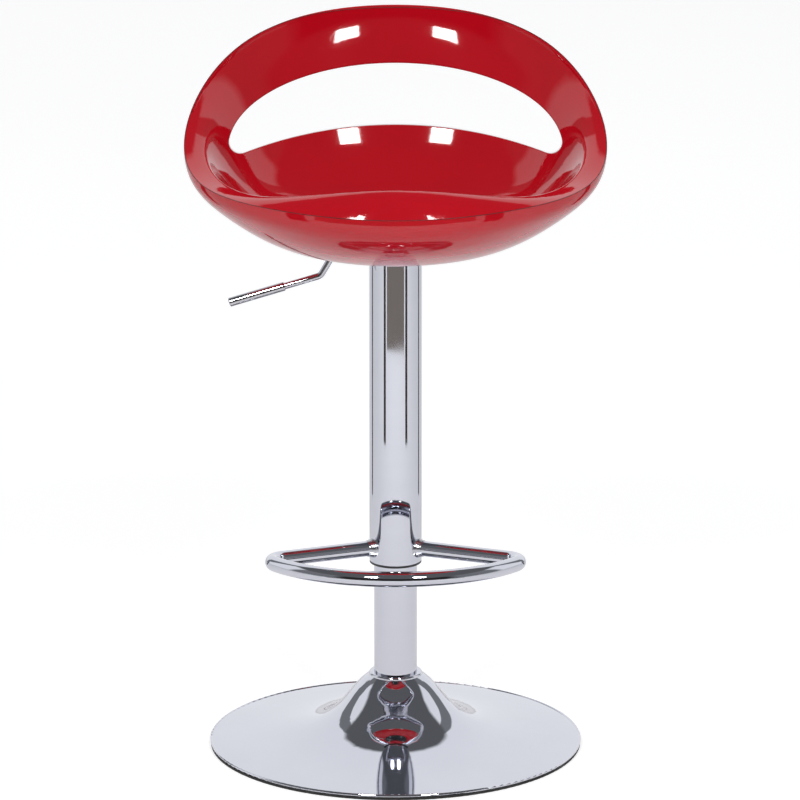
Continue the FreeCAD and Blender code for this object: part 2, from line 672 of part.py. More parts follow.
def insert_height():
    """Height of a boss, from the recess up to just under the pan."""
    return PAN_HEIGHT - SHELL_WALL - INSERT_ROOF - RECESS_CEILING


def threaded_inserts():
    """Brass inserts in the seat's bosses."""
    inserts = []
    for x, y in bolt_places():
        outer = disc(INSERT_DIAMETER / 2, RECESS_CEILING, insert_height() - INSERT_ROOF, x, y)
        inserts.append(outer.cut(disc(BOLT_DIAMETER / 2, RECESS_CEILING - 1, insert_height() + 1, x, y)))
    return Part.makeCompound(inserts)


# ---------------------------------------------------------------- seat shells

AROUND = 24
STATIONS = 5


def smoothing(wave):
    """Share of a wave round the net that the surface keeps; the poles are raised by its inverse."""
    return (2 + math.cos(2 * math.pi * wave / AROUND)) / 3


def around(angle, stations):
    """Smooth value round the seat, from its values at the front, the quarters, the side and the back."""
    last = STATIONS - 1
    value = 0.0
    for wave in range(STATIONS):
        weight = 0.0
        for index, height in enumerate(stations):
            share = 0.5 if index in (0, last) else 1.0
            weight += share * height * math.cos(math.pi * wave * index / last)
        weight *= (1.0 if wave in (0, last) else 2.0) / last
        value += weight * math.cos(wave * angle) / smoothing(wave)
    return value


def seat_point(angle, share, inset, height):
    """A point of the plan's ellipse, shrunk by a share and then set in by a length."""
    half_width = (SEAT_WIDTH / 2 * share - inset) / smoothing(1)
    half_depth = (SEAT_DEPTH / 2 * share - inset) / smoothing(1)
    return vec(half_width * math.sin(angle), SEAT_CENTRE_Y - half_depth * math.cos(angle), height)


# Rows of the shells' control nets from the middle to the seam. Each row has a share of the plan,
# then its inset from the rim and its height above the pan or above the bowl's bottom, both at the
# front, the front quarter, the side, the back quarter and the back.
FLAT = (0, 0, 0, 0, 0)
RIM_LEAN = (180, 185, 205, 240, 265)
SEAM_ABOVE_PAN = (53, 56.5, 83, 159, 180)
SEATING_ROWS = (
    (0.06, FLAT, FLAT),
    (0.24, FLAT, FLAT),
    (0.42, FLAT, FLAT),
    (1.00, (78, 78, 82, 82, 88), (8, 8, 9, 10, 12)),
    (1.00, (54, 54, 58, 60, 64), (34, 28, 25, 33, 38)),
    (1.00, (38, 38, 38, 43, 45), (64, 46, 52, 64, 84)),
    (1.00, (26, 25, 24, 29, 29), (78.5, 60, 75, 97, 120)),
    (1.00, (21, 20, 20, 14, 13), (78.5, 60.5, 77.5, 124, 146.5)),
    (1.00, (9, 9, 9, 5, 4), (72, 59.5, 82, 143, 164.5)),
)
UNDER_ROWS = (
    (0.30, FLAT, FLAT),
    (0.46, FLAT, FLAT),
    (1.00, (63, 72, 81, 73, 66), (13, 13, 13, 14, 14)),
    (1.00, (27, 36, 43, 26, 16), (33, 35, 42, 60, 63)),
    (1.00, (8, 15, 14, 2, -6), (51, 54, 69, 125, 153)),
    (1.00, (1.5, 4, 3, -6, -9), (62, 65, 89, 168, 200)),
    (1.00, (0, 0.5, -0.5, -3, -4), (70, 73, 100, 182, 210.5)),
)


def meridian(rows, base, angle):
    """Points of (share, inset, height) at one angle, from the middle row to the seam."""
    line = [(share, around(angle, inset), base + around(angle, height)) for share, inset, height in rows]
    return line + [(1.0, 0.0, PAN_HEIGHT + around(angle, SEAM_ABOVE_PAN))]


def wall_line(line, angle, depth):
    """The same meridian moved square to itself in its own upright plane: up for a positive depth."""
    half_width = SEAT_WIDTH / 2 * abs(math.sin(angle)) + SEAT_DEPTH / 2 * abs(math.cos(angle))
    flat = [(half_width * share - inset, height) for share, inset, height in line]
    moved = []
    for index, (share, inset, height) in enumerate(line):
        before = flat[max(index - 1, 0)]
        after = flat[min(index + 1, len(flat) - 1)]
        run = after[0] - before[0]
        rise = after[1] - before[1]
        length = math.hypot(run, rise)
        out = -rise / length * depth
        up = run / length * depth
        if index == len(line) - 1:
            lean = math.radians(around(angle, RIM_LEAN))
            out = math.cos(lean) * abs(depth)
            up = math.sin(lean) * abs(depth)
        moved.append((share, inset - out, height + up))
    return moved


def seat_surface(line_at):
    """Smooth surface that closes round the seat and runs from the middle row to the seam."""
    poles = []
    for index in range(AROUND):
        angle = 2 * math.pi * index / AROUND
        poles.append([seat_point(angle, share, inset, height) for share, inset, height in line_at(angle)])
    rows = len(poles[0])
    surface = Part.BSplineSurface()
    inner = rows - 4
    surface.buildFromPolesMultsKnots(
        poles, [1] * (AROUND + 1), [4] + [1] * inner + [4],
        [float(k) for k in range(AROUND + 1)], [float(k) for k in range(inner + 2)], True, False, 3, 3)
    return surface


def end_edges(face):
    """The closed edges of a seat surface, at its middle row and at its seam."""
    closed = [edge for edge in face.Edges if edge.isClosed()]
    closed.sort(key=lambda edge: edge.BoundBox.XLength)
    return closed[0], closed[-1]


def closed_solid(faces):
    """Solid from faces that meet edge to edge."""
    shell = Part.makeShell(faces)
    shell.sewShape()
    solid = Part.Solid(shell.Shells[0] if shell.ShapeType != "Shell" else shell)
    if solid.Volume < 0:
        solid.reverse()
    return solid


def plan_disc(edge):
    return Part.Face(Part.Wire(edge))


def wall_solid(visible, hidden):
    """One shell: its visible face, its face inside the wall, the middle discs and the rim strip."""
    outer_face = seat_surface(visible).toShape()
    inner_face = seat_surface(hidden).toShape()
    outer_middle, outer_seam = end_edges(outer_face)
    inner_middle, inner_seam = end_edges(inner_face)
    rim = Part.makeRuledSurface(outer_seam, inner_seam)
    return closed_solid([outer_face, inner_face, plan_disc(outer_middle), plan_disc(inner_middle), rim])


def seating_line(angle):
    return meridian(SEATING_ROWS, PAN_HEIGHT, angle)


def under_line(angle):
    return meridian(UNDER_ROWS, BOWL_BOTTOM, angle)


def inside_seating_line(depth):
    """Meridians of a surface some depth inside the seating shell."""
    return lambda angle: wall_line(seating_line(angle), angle, -depth)


def crescent(grow):
    """Prism through the back along the opening's tilt, grown by a length: an arch over a low arc."""
    half_width = SEAT_WIDTH / 2 - OPENING_SIDE_MARGIN + grow
    arch_height = OPENING_ARCH_HEIGHT + grow
    spring_line = OPENING_TOP - OPENING_ARCH_HEIGHT
    low_radius = OPENING_BOTTOM_RADIUS - grow
    low_centre = OPENING_BOTTOM - OPENING_BOTTOM_RADIUS
    arch = Part.Ellipse(vec(half_width, 0, spring_line), vec(0, 0, spring_line + arch_height),
                        vec(0, 0, spring_line))
    low_arc = Part.Circle(vec(0, 0, low_centre), vec(0, 1, 0), low_radius)
    outline = Part.Face(Part.Wire(arch.toShape()))
    below = Part.Face(Part.Wire(low_arc.toShape()))
    face = outline.cut(below)
    tilt = math.radians(OPENING_TILT)
    run = SEAT_DEPTH
    prism = face.extrude(vec(0, run * math.cos(tilt), -run * math.sin(tilt)))
    tips = [edge for edge in prism.Edges
            if abs(edge.Length - run) < 0.01 and abs(edge.CenterOfMass.x) > grow + 1]
    return prism.makeFillet(OPENING_TIP_RADIUS + grow, tips)


def opening_edge(edge):
    """Chooser for the edges round the opening, on both faces of the back."""
    box = edge.BoundBox
    return box.YMin > 0 and box.ZMin > PAN_HEIGHT + 2 * OPENING_TIP_RADIUS and box.XLength > 1


def seat_shell_inner():
    """Seating shell, whose edge turns back round the opening to meet the underside."""
    wall = wall_solid(seating_line, inside_seating_line(SHELL_WALL))
    filling = wall_solid(under_line, inside_seating_line(SHELL_WALL / 2))
    collar = crescent(SHELL_WALL).common(filling)
    shell = merged(wall.fuse(collar).cut(crescent(0)))
    return rounded(shell, OPENING_EDGE_RADIUS, opening_edge)


def seat_shell_outer():
    """Bowl under the seat, with a recess for the steel plate and a boss for each bolt."""
    wall = wall_solid(under_line, lambda angle: wall_line(under_line(angle), angle, SHELL_WALL))
    cup = disc(RECESS_RADIUS + SHELL_WALL, BOWL_BOTTOM, RECESS_CEILING + SHELL_WALL - BOWL_BOTTOM)
    shell = wall.fuse(cup).cut(disc(RECESS_RADIUS, BOWL_BOTTOM - 1, RECESS_CEILING - BOWL_BOTTOM + 1))
    for x, y in bolt_places():
        shell = shell.fuse(disc(INSERT_DIAMETER / 2 + BOSS_WALL, RECESS_CEILING, insert_height(), x, y))
        shell = shell.cut(disc(INSERT_DIAMETER / 2, RECESS_CEILING - 1, insert_height(), x, y))
    return merged(shell.cut(crescent(SHELL_WALL)))


PIECES = {
    "base_cover": base_cover, "floor_ring": floor_ring, "base_plate": base_plate, "base_hub": base_hub,
    "base_gussets": base_gussets, "trim_ring": trim_ring, "standpipe": standpipe,
    "standpipe_floor": standpipe_floor, "guide_bush": guide_bush, "lower_race": lower_race,
    "ball_cage": ball_cage, "thrust_balls": thrust_balls, "upper_race": upper_race,
    "piston_rod": piston_rod, "piston": piston, "rod_clip": rod_clip, "rod_washer": rod_washer,
    "bumper": bumper, "gas_cylinder": gas_cylinder, "rod_guide": rod_guide, "rod_seal": rod_seal,
    "valve_body": valve_body, "valve_pin": valve_pin, "footrest_sleeve": footrest_sleeve,
    "sleeve_bush": sleeve_bush, "sleeve_cap": sleeve_cap, "footrest_ring": footrest_ring,
    "footrest_welds": footrest_welds, "seat_plate": seat_plate, "cylinder_socket": cylinder_socket,
    "lever_cheeks": lever_cheeks, "lever_pin": lever_pin, "lever_rod": lever_rod, "lever_grip": lever_grip,
    "seat_bolts": seat_bolts, "lock_washers": lock_washers, "threaded_inserts": threaded_inserts,
    "seat_shell_inner": seat_shell_inner, "seat_shell_outer": seat_shell_outer,
}

os.makedirs("parts", exist_ok=True)
for piece_name, make_piece in PIECES.items():
    export(make_piece(), piece_name)
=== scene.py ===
import json
import math

import bmesh
import bpy
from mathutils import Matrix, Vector


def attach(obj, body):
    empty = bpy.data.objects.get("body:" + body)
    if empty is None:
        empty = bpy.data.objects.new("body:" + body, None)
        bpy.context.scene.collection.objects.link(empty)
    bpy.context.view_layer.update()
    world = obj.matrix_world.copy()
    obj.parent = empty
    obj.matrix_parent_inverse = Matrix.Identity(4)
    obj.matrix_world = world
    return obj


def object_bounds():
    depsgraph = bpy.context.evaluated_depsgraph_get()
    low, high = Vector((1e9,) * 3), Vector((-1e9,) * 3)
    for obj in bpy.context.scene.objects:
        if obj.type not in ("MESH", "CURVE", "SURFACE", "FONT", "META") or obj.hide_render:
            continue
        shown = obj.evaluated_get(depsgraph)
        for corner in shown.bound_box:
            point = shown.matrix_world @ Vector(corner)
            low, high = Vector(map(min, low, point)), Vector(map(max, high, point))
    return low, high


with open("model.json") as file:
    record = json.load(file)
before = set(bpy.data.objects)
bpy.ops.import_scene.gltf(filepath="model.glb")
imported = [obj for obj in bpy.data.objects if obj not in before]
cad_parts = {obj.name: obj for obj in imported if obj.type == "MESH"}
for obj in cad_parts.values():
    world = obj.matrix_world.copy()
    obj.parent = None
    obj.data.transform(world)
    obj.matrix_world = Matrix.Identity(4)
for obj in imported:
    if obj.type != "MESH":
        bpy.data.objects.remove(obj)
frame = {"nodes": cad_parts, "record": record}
cad_low, cad_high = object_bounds()
print("box", [round(value, 4) for value in (*cad_low, *cad_high)])

# %% [markdown]
# Shader maths as plain expressions
# A finish varies over its surface: a polish mark here, a little dust there. In Blender such a
# variation is a web of Math nodes. Building it by hand is slow to read, so a small class wraps an
# output socket and turns Python's operators into Math nodes: 0.2 + noise * 0.1 then makes two nodes.
# %% A socket that takes part in sums
class Signal:
    """One output of a node. Sums and products with it add Math nodes."""

    def __init__(self, finish, socket):
        self.finish = finish
        self.socket = socket

    def maths(self, operation, first, second):
        return self.finish.node("ShaderNodeMath", {"operation": operation}, {0: first, 1: second})

    def __add__(self, other):
        return self.maths("ADD", self, other)

    def __radd__(self, other):
        return self.maths("ADD", other, self)

    def __sub__(self, other):
        return self.maths("SUBTRACT", self, other)

    def __mul__(self, other):
        return self.maths("MULTIPLY", self, other)

    def __truediv__(self, other):
        return self.maths("DIVIDE", self, other)

    def __pow__(self, other):
        return self.maths("POWER", self, other)


# %% [markdown]
# One method for every other node
# Textures, ramps, mixes and bumps all go through one method. It takes the node's type, then its
# settings, then what its sockets hold: a number, a colour or another node's output.
# %% A material under construction
class Finish:
    """A material, or the world's surface, built node by node."""

    def __init__(self, name, holder=None):
        self.material = holder or bpy.data.materials.new(name)
        self.material.use_nodes = True
        self.tree = self.material.node_tree
        self.shader = self.tree.nodes.get("Principled BSDF")

    def node(self, kind, settings, sockets, output=0):
        made = self.tree.nodes.new(kind)
        for setting, value in settings.items():
            if setting == "stops":
                self.set_stops(made.color_ramp, value)
            else:
                setattr(made, setting, value)
        self.fill(made, sockets)
        return Signal(self, made.outputs[output])

    def fill(self, node, sockets):
        for socket, value in sockets.items():
            if isinstance(value, Signal):
                self.tree.links.new(value.socket, node.inputs[socket])
            else:
                node.inputs[socket].default_value = value

    def set_stops(self, ramp, stops):
        while len(ramp.elements) < len(stops):
            ramp.elements.new(1.0)
        for element, (place, shade) in zip(ramp.elements, stops):
            element.position = place
            element.color = (shade, shade, shade, 1.0)

    def place(self, scale=(1.0, 1.0, 1.0), turn=(0.0, 0.0, 0.0)):
        """The object's own coordinates in metres, stretched and turned."""
        coordinates = self.node("ShaderNodeTexCoord", {}, {}, "Object")
        return self.node("ShaderNodeMapping", {}, {"Vector": coordinates, "Scale": scale, "Rotation": turn})

    def noise(self, size, where=None, detail=3.0, roughness=0.5):
        """Soft random patches about this size in metres, from 0 to 1."""
        return self.node("ShaderNodeTexNoise", {"noise_dimensions": "3D"},
                         {"Vector": where or self.place(), "Scale": 1.0 / size, "Detail": detail,
                          "Roughness": roughness}, "Fac")

    def ramp(self, value, stops):
        return self.node("ShaderNodeValToRGB", {"stops": stops}, {"Fac": value}, "Color")

    def blend(self, share, first, second):
        """A colour between two colours; each is three numbers or another node's output."""
        first, second = [colour if isinstance(colour, Signal) else (*colour, 1.0)
                         for colour in (first, second)]
        return self.node("ShaderNodeMix", {"data_type": "RGBA"}, {0: share, 6: first, 7: second}, 2)

    def bump(self, height, depth, under=None):
        """A normal from a height of 0 to 1, for a relief of this depth in metres."""
        sockets = {"Height": height, "Distance": depth, "Strength": 1.0}
        if under:
            sockets["Normal"] = under
        return self.node("ShaderNodeBump", {}, sockets, "Normal")

    def surface(self, **sockets):
        """Fills the shader's own sockets; a name's underscores stand for spaces."""
        self.fill(self.shader, {name.replace("_", " "): value for name, value in sockets.items()})
        return self.material


print("helpers ready")

# %% [markdown]
# Glossy moulded plastic
# The seat is injection-moulded ABS, pigmented right through and polished by its mould. Up close it
# isn't a flat red: the pigment flows in faint clouds, the skin has a trace of orange peel, the
# broad faces pull in a little as they cool, and fine wipe marks dull the gloss here and there.
# %% The seat's red ABS
def red_plastic(name, deep, bright, waviness, wipe_marks):
    finish = Finish(name)
    clouds = finish.noise(0.09, detail=2.0)
    peel = finish.noise(0.0016, detail=1.0)
    sink = finish.noise(0.055, detail=0.0)
    strands = finish.noise(0.0022, finish.place((1.0, 0.06, 1.0), (0.0, 0.3, 0.6)), 4.0, 0.6)
    patches = finish.ramp(finish.noise(0.06), ((0.42, 0.0), (0.68, 1.0)))
    marks = finish.ramp(strands, ((0.56, 0.0), (0.72, 1.0))) * patches
    relief = finish.bump(peel, 0.0000025, finish.bump(sink, waviness))
    return finish.surface(
        Base_Color=finish.blend(clouds, deep, bright),
        Roughness=0.045 + marks * wipe_marks + peel * 0.015,
        Normal=relief, IOR=1.53, Coat_Weight=0.15, Coat_Roughness=0.02)


seat_red = red_plastic("seat_red", (0.455, 0.0016, 0.0080), (0.520, 0.0026, 0.0115), 0.00030, 0.10)
bowl_red = red_plastic("bowl_red", (0.440, 0.0018, 0.0085), (0.505, 0.0028, 0.0120), 0.00022, 0.07)
print("plastic ready")

# %% [markdown]
# Chrome plate
# Decorative chrome is a mirror over polished steel. What tells it from a perfect mirror is what
# the polisher left: hair-fine lines that run round a tube or along a bent one, a slow waviness of
# the tube itself, and a haze of handling. The lines are noise squeezed along the polishing wheel.
# %% Chrome with polishing lines
def chrome(name, lines, cool, haze, waviness=0.00004):
    finish = Finish(name)
    polish = finish.noise(0.0009, finish.place(lines), 3.0, 0.6)
    handling = finish.ramp(finish.noise(0.035), ((0.45, 0.0), (0.75, 1.0)))
    slow = finish.noise(0.05, detail=1.0)
    tone = finish.noise(0.02, finish.place(lines))
    dull = [shade * 0.93 for shade in cool]
    relief = finish.bump(polish, 0.0000004, finish.bump(slow, waviness))
    return finish.surface(
        Base_Color=finish.blend(tone, dull, cool), Metallic=1.0,
        Roughness=0.025 + handling * haze + polish * 0.012, Normal=relief)


COOL_WHITE = (0.66, 0.67, 0.735)
tube_chrome = chrome("tube_chrome", (0.04, 0.04, 1.0), COOL_WHITE, 0.03)
base_chrome = chrome("base_chrome", (0.3, 0.3, 0.3), COOL_WHITE, 0.05)
bar_chrome = chrome("bar_chrome", (0.2, 0.2, 1.0), COOL_WHITE, 0.04)
lever_chrome = chrome("lever_chrome", (0.1, 1.0, 1.0), (0.58, 0.58, 0.62), 0.08)


def weld_finish(name):
    """Plated weld: the overlapping ripples of the pool, under the same chrome."""
    finish = Finish(name)
    ripples = finish.noise(0.0032, finish.place((1.0, 1.0, 0.45)), 1.0)
    spatter = finish.noise(0.0009, detail=2.0)
    relief = finish.bump(spatter, 0.00003, finish.bump(ripples, 0.0007))
    return finish.surface(
        Base_Color=finish.blend(ripples, (0.44, 0.45, 0.48), (0.60, 0.61, 0.65)), Metallic=1.0,
        Roughness=0.12 + spatter * 0.16, Normal=relief)


weld_chrome = weld_finish("weld_chrome")
print("chrome ready")

# %% [markdown]
# Workshop finishes
# Under the seat and inside the column are plainer parts: powder-coated steel with its own fine
# orange peel, ground and turned metals with directional grain, nylon bushes and matt rubber. One
# function per family keeps each finish a few numbers long.
# %% Grained metals, powder coat, nylon and rubber
def grained_metal(name, colour, roughness, lines, depth):
    finish = Finish(name)
    grain = finish.noise(0.0012, finish.place(lines), 4.0, 0.65)
    stains = finish.noise(0.018, detail=4.0)
    dark = [shade * 0.72 for shade in colour]
    return finish.surface(
        Base_Color=finish.blend(0.35 + grain * 0.4 + stains * 0.25, dark, colour), Metallic=1.0,
        Roughness=roughness + grain * 0.14 + stains * 0.08, Normal=finish.bump(grain, depth))


def moulded(name, colour, roughness, size, depth, worn):
    """Powder coat, nylon or rubber: a grainy skin with rubbed places."""
    finish = Finish(name)
    skin = finish.noise(size, detail=3.0, roughness=0.6)
    rubbed = finish.ramp(finish.noise(0.012, detail=5.0, roughness=0.7), ((0.52, 0.0), (0.70, 1.0)))
    return finish.surface(
        Base_Color=finish.blend(rubbed * 0.7 + skin * 0.3, colour, worn),
        Roughness=roughness + skin * 0.12 - rubbed * 0.08, Normal=finish.bump(skin, depth))


LENGTHWISE = (1.0, 1.0, 0.05)
ROUND_AND_ROUND = (0.05, 0.05, 1.0)
plate_steel = grained_metal("plate_steel", (0.42, 0.42, 0.43), 0.34, (1.0, 0.05, 1.0), 0.00003)
ground_steel = grained_metal("ground_steel", (0.62, 0.62, 0.64), 0.16, LENGTHWISE, 0.000005)
turned_aluminium = grained_metal("turned_aluminium", (0.70, 0.71, 0.73), 0.24, ROUND_AND_ROUND, 0.00001)
zinc_plate = grained_metal("zinc_plate", (0.64, 0.65, 0.63), 0.26, (1.0, 1.0, 1.0), 0.00001)
bare_brass = grained_metal("bare_brass", (0.74, 0.55, 0.24), 0.22, ROUND_AND_ROUND, 0.00001)
powder_coat = moulded("powder_coat", (0.018, 0.018, 0.020), 0.38, 0.0011, 0.00006, (0.045, 0.045, 0.048))
natural_nylon = moulded("natural_nylon", (0.78, 0.75, 0.66), 0.44, 0.0008, 0.00002, (0.70, 0.66, 0.56))
black_nylon = moulded("black_nylon", (0.014, 0.014, 0.016), 0.34, 0.0009, 0.00003, (0.030, 0.030, 0.033))
foot_rubber = moulded("foot_rubber", (0.016, 0.016, 0.016), 0.72, 0.0007, 0.00008, (0.050, 0.049, 0.047))
print("materials", len(bpy.data.materials))

# %% [markdown]
# Dress the CAD nodes
# The record names a finish slot for every node. A table from slot to finish dresses the whole
# frame in one loop; the tubes, the base and the bent bars then get chrome whose lines run their way.
# %% One finish per slot
SLOT_FINISH = {
    "chrome": tube_chrome, "weld": weld_chrome, "lever_chrome": lever_chrome, "black_rubber": foot_rubber,
    "mild_steel": plate_steel, "black_paint": powder_coat, "nylon": natural_nylon,
    "black_nylon": black_nylon, "brass": bare_brass, "bearing_steel": ground_steel,
    "aluminium": turned_aluminium, "zinc_steel": zinc_plate, "red_shell": seat_red, "red_bowl": bowl_red,
}
OWN_FINISH = {"base_cover": base_chrome, "trim_ring": base_chrome, "footrest_ring": bar_chrome,
              "lever_rod": lever_chrome}
for subpart in frame["record"]["subparts"]:
    node = subpart["node"]
    finish = OWN_FINISH.get(node, SLOT_FINISH[subpart["material_slot"]])
    mesh = frame["nodes"][node].data
    mesh.materials.clear()
    mesh.materials.append(finish)
print("dressed", len(frame["nodes"]))

# %% [markdown]
# The line where the two shells meet
# The seat is two mouldings, and the fine dark gap between them runs right round the crest and the
# lip. The bowl's own mesh already holds that curve: it is where the outside turns sharply into the
# rim. A copy keeps only those edges, and a thin round section along them makes the joint's line.
# Its dark red is painted shade: it stands for the shade that falls in the gap between the shells.
# %% Seam line
SEAT_PLAN = (0.433, 0.366, -0.005)
PLAN_TOLERANCE = 0.0015
SHARP_ANGLE = math.radians(25)
SEAM_RADIUS = 0.00036
SEAM_INSET = 0.9985


def on_plan_edge(place):
    width, depth, centre = SEAT_PLAN
    return abs(math.hypot(place.x * 2 / width, (place.y - centre) * 2 / depth) - 1.0) < PLAN_TOLERANCE


def seam_edges(source):
    """The mesh's sharp edges on the plan's outline, as a mesh of edges alone."""
    shape = bmesh.new()
    shape.from_mesh(source)
    bmesh.ops.remove_doubles(shape, verts=shape.verts, dist=0.00001)
    keep = {edge for edge in shape.edges if len(edge.link_faces) == 2
            and edge.calc_face_angle() > SHARP_ANGLE
            and all(on_plan_edge(vert.co) for vert in edge.verts)}
    bmesh.ops.delete(shape, geom=shape.faces[:], context="FACES_ONLY")
    bmesh.ops.delete(shape, geom=[edge for edge in shape.edges if edge not in keep], context="EDGES")
    bmesh.ops.delete(shape, geom=[vert for vert in shape.verts if not vert.link_edges], context="VERTS")
    bmesh.ops.scale(shape, verts=shape.verts, vec=(SEAM_INSET, 1.0, 1.0))
    mesh = bpy.data.meshes.new("seam_line")
    shape.to_mesh(mesh)
    shape.free()
    return mesh


def seam_line():
    line = bpy.data.objects.new("seam_line", seam_edges(frame["nodes"]["seat_shell_outer"].data))
    bpy.context.scene.collection.objects.link(line)
    bpy.ops.object.select_all(action="DESELECT")
    line.select_set(True)
    bpy.context.view_layer.objects.active = line
    bpy.ops.object.convert(target="CURVE")
    line.data.bevel_depth = SEAM_RADIUS
    line.data.bevel_resolution = 2
    bpy.ops.object.convert(target="MESH")
    # The tube's dark red is painted shade, the shade in the gap between the two shells.
    joint = Finish("seam_shadow")
    dust = joint.noise(0.004, detail=3.0)
    line.data.materials.append(joint.surface(
        Base_Color=joint.blend(dust, (0.060, 0.002, 0.003), (0.110, 0.004, 0.006)),
        Roughness=0.42 + dust * 0.2))
    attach(line, "seat")
    return line


seam = seam_line()
print("seam line", len(seam.data.vertices), "points", round(max(vert.co.z for vert in seam.data.vertices), 4))

# %% [markdown]
# A floor that fades into the room
# The stool stands on a pale, seamless floor. One wide disc is enough, and a touch of noise keeps it
# from looking like a blank page. A thin sheet just above it, which only the camera sees, lifts the
# paper to white. It also makes the shadow under the base fainter.
# %% The floor
FLOOR_RADIUS = 30.0
FLOOR_GLOW = 0.10
VEIL_HEIGHT = 0.0002
VEIL_ALPHA = 0.38


def studio_floor():
    shape = bmesh.new()
    bmesh.ops.create_circle(shape, cap_ends=True, segments=96, radius=FLOOR_RADIUS)
    mesh = bpy.data.meshes.new("studio_floor")
    shape.to_mesh(mesh)
    shape.free()
    floor = bpy.data.objects.new("studio_floor", mesh)
    bpy.context.scene.collection.objects.link(floor)
    paper = Finish("floor_paper")
    fibres = paper.noise(0.004, detail=4.0)
    mesh.materials.append(paper.surface(
        Base_Color=paper.blend(fibres, (0.88, 0.88, 0.885), (0.91, 0.91, 0.915)), Roughness=0.85,
        Emission_Color=(1.0, 1.0, 1.0, 1.0), Emission_Strength=FLOOR_GLOW))
    return floor


def white_veil(floor):
    """A faint white sheet just above the floor, which only the camera sees."""
    veil = floor.copy()
    veil.data = floor.data.copy()
    veil.name = "white_veil"
    veil.location.z = VEIL_HEIGHT
    bpy.context.scene.collection.objects.link(veil)
    veil.visible_diffuse = False
    veil.visible_glossy = False
    veil.visible_transmission = False
    veil.visible_shadow = False
    glow = Finish("veil_glow")
    cloud = glow.noise(0.8, detail=1.0)
    veil.data.materials.clear()
    veil.data.materials.append(glow.surface(
        Base_Color=(0.0, 0.0, 0.0, 1.0), Specular_IOR_Level=0.0, Alpha=VEIL_ALPHA, Emission_Strength=1.0,
        Emission_Color=glow.blend(cloud, (1.42, 1.42, 1.42), (1.48, 1.48, 1.48))))
    return veil


floor = studio_floor()
veil = white_veil(floor)
print("floor", floor.name, veil.name)

# %% [markdown]
# What the chrome sees
# Chrome has no look of its own; it shows the room. A product studio is white paper and white
# panels at the sides and behind, and a darker room on the camera's side, with narrow gaps between
# the panels. The world's surface paints that from the direction alone: a dark wedge in front, grey
# beside it, a dark gap at each side, a dark ceiling overhead and white everywhere else.
# %% The room
WHITE_PANELS = (0.97, 0.98, 1.0)
DARK_FRONT = (0.030, 0.028, 0.028)
DARK_CEILING = (0.125, 0.13, 0.135)
GREY_BORDER = (0.22, 0.225, 0.235)
FRONT_WEDGE = (50.0, 0.12)
BORDER_WEDGE = (90.0, 0.10)
GAP_WEDGE = (10.0, 0.004)
GAP_DIRECTIONS = (-126.0, 126.0)
FRONT_TOP = 0.62
FRONT_TOP_FADE = 0.18
CEILING_TILT = 0.28
CEILING_EDGE = 0.60
CEILING_FADE = 0.06
NEVER_ZERO = 0.0001


def clamped(paint, value):
    return paint.node("ShaderNodeClamp", {}, {"Value": value})


def wedge(paint, compass, direction, half_width, softness):
    """1 inside a wedge of the compass about this direction in degrees, 0 outside it."""
    east, north = compass
    turned = math.radians(direction)
    away = east * math.sin(turned) - north * math.cos(turned)
    return clamped(paint, (away - math.cos(math.radians(half_width))) / softness)


def room():
    world = bpy.data.worlds.new("studio")
    bpy.context.scene.world = world
    paint = Finish("studio", world)
    direction = paint.node("ShaderNodeTexCoord", {}, {}, "Generated")
    axes = [paint.node("ShaderNodeSeparateXYZ", {}, {"Vector": direction}, axis) for axis in "XYZ"]
    level = (axes[0] * axes[0] + axes[1] * axes[1]) ** 0.5 + NEVER_ZERO
    compass = (axes[0] / level, axes[1] / level)
    upward = clamped(paint, (axes[2] - FRONT_TOP) / FRONT_TOP_FADE)
    front = paint.blend(upward, DARK_FRONT, DARK_CEILING)
    framed = paint.blend(wedge(paint, compass, 0.0, *FRONT_WEDGE), GREY_BORDER, front)
    shade = wedge(paint, compass, 0.0, *BORDER_WEDGE)
    for side in GAP_DIRECTIONS:
        shade = clamped(paint, shade + wedge(paint, compass, side, *GAP_WEDGE))
    walls = paint.blend(shade, WHITE_PANELS, framed)
    overhead = clamped(paint, (axes[2] - axes[1] * CEILING_TILT - CEILING_EDGE) / CEILING_FADE)
    colour = paint.blend(overhead, walls, DARK_CEILING)
    paint.fill(paint.tree.nodes["Background"], {"Color": colour, "Strength": 1.0})


room()
print("room ready")

# %% [markdown]
# The edge of the paper
# Beyond the white paper the studio's floor is bare and brown. The column's chrome looks down at it,
# and that is where its dark streaks come from. A few flat fans, seen only in reflections, stand for
# that floor: a wide one in front, and a narrow one in each gap between the panels. A fan is one edge
# spun part of the way round.
# %% Floor beyond the paper
FAN_HEIGHT = 0.001
FAN_REACH = 9.0
FANS = (
    ("bare_floor_front", 0.0, 38.0, 1.50, (0.27, 0.235, 0.205)),
    ("bare_floor_border_left", -48.0, 5.0, 1.12, (0.075, 0.065, 0.06)),
    ("bare_floor_gap_left", -122.0, 4.0, 0.9, (0.07, 0.07, 0.075)),
    ("bare_floor_border_right", 48.0, 5.0, 1.12, (0.075, 0.065, 0.06)),
    ("bare_floor_gap_right", 122.0, 4.0, 0.9, (0.07, 0.07, 0.075)),
)


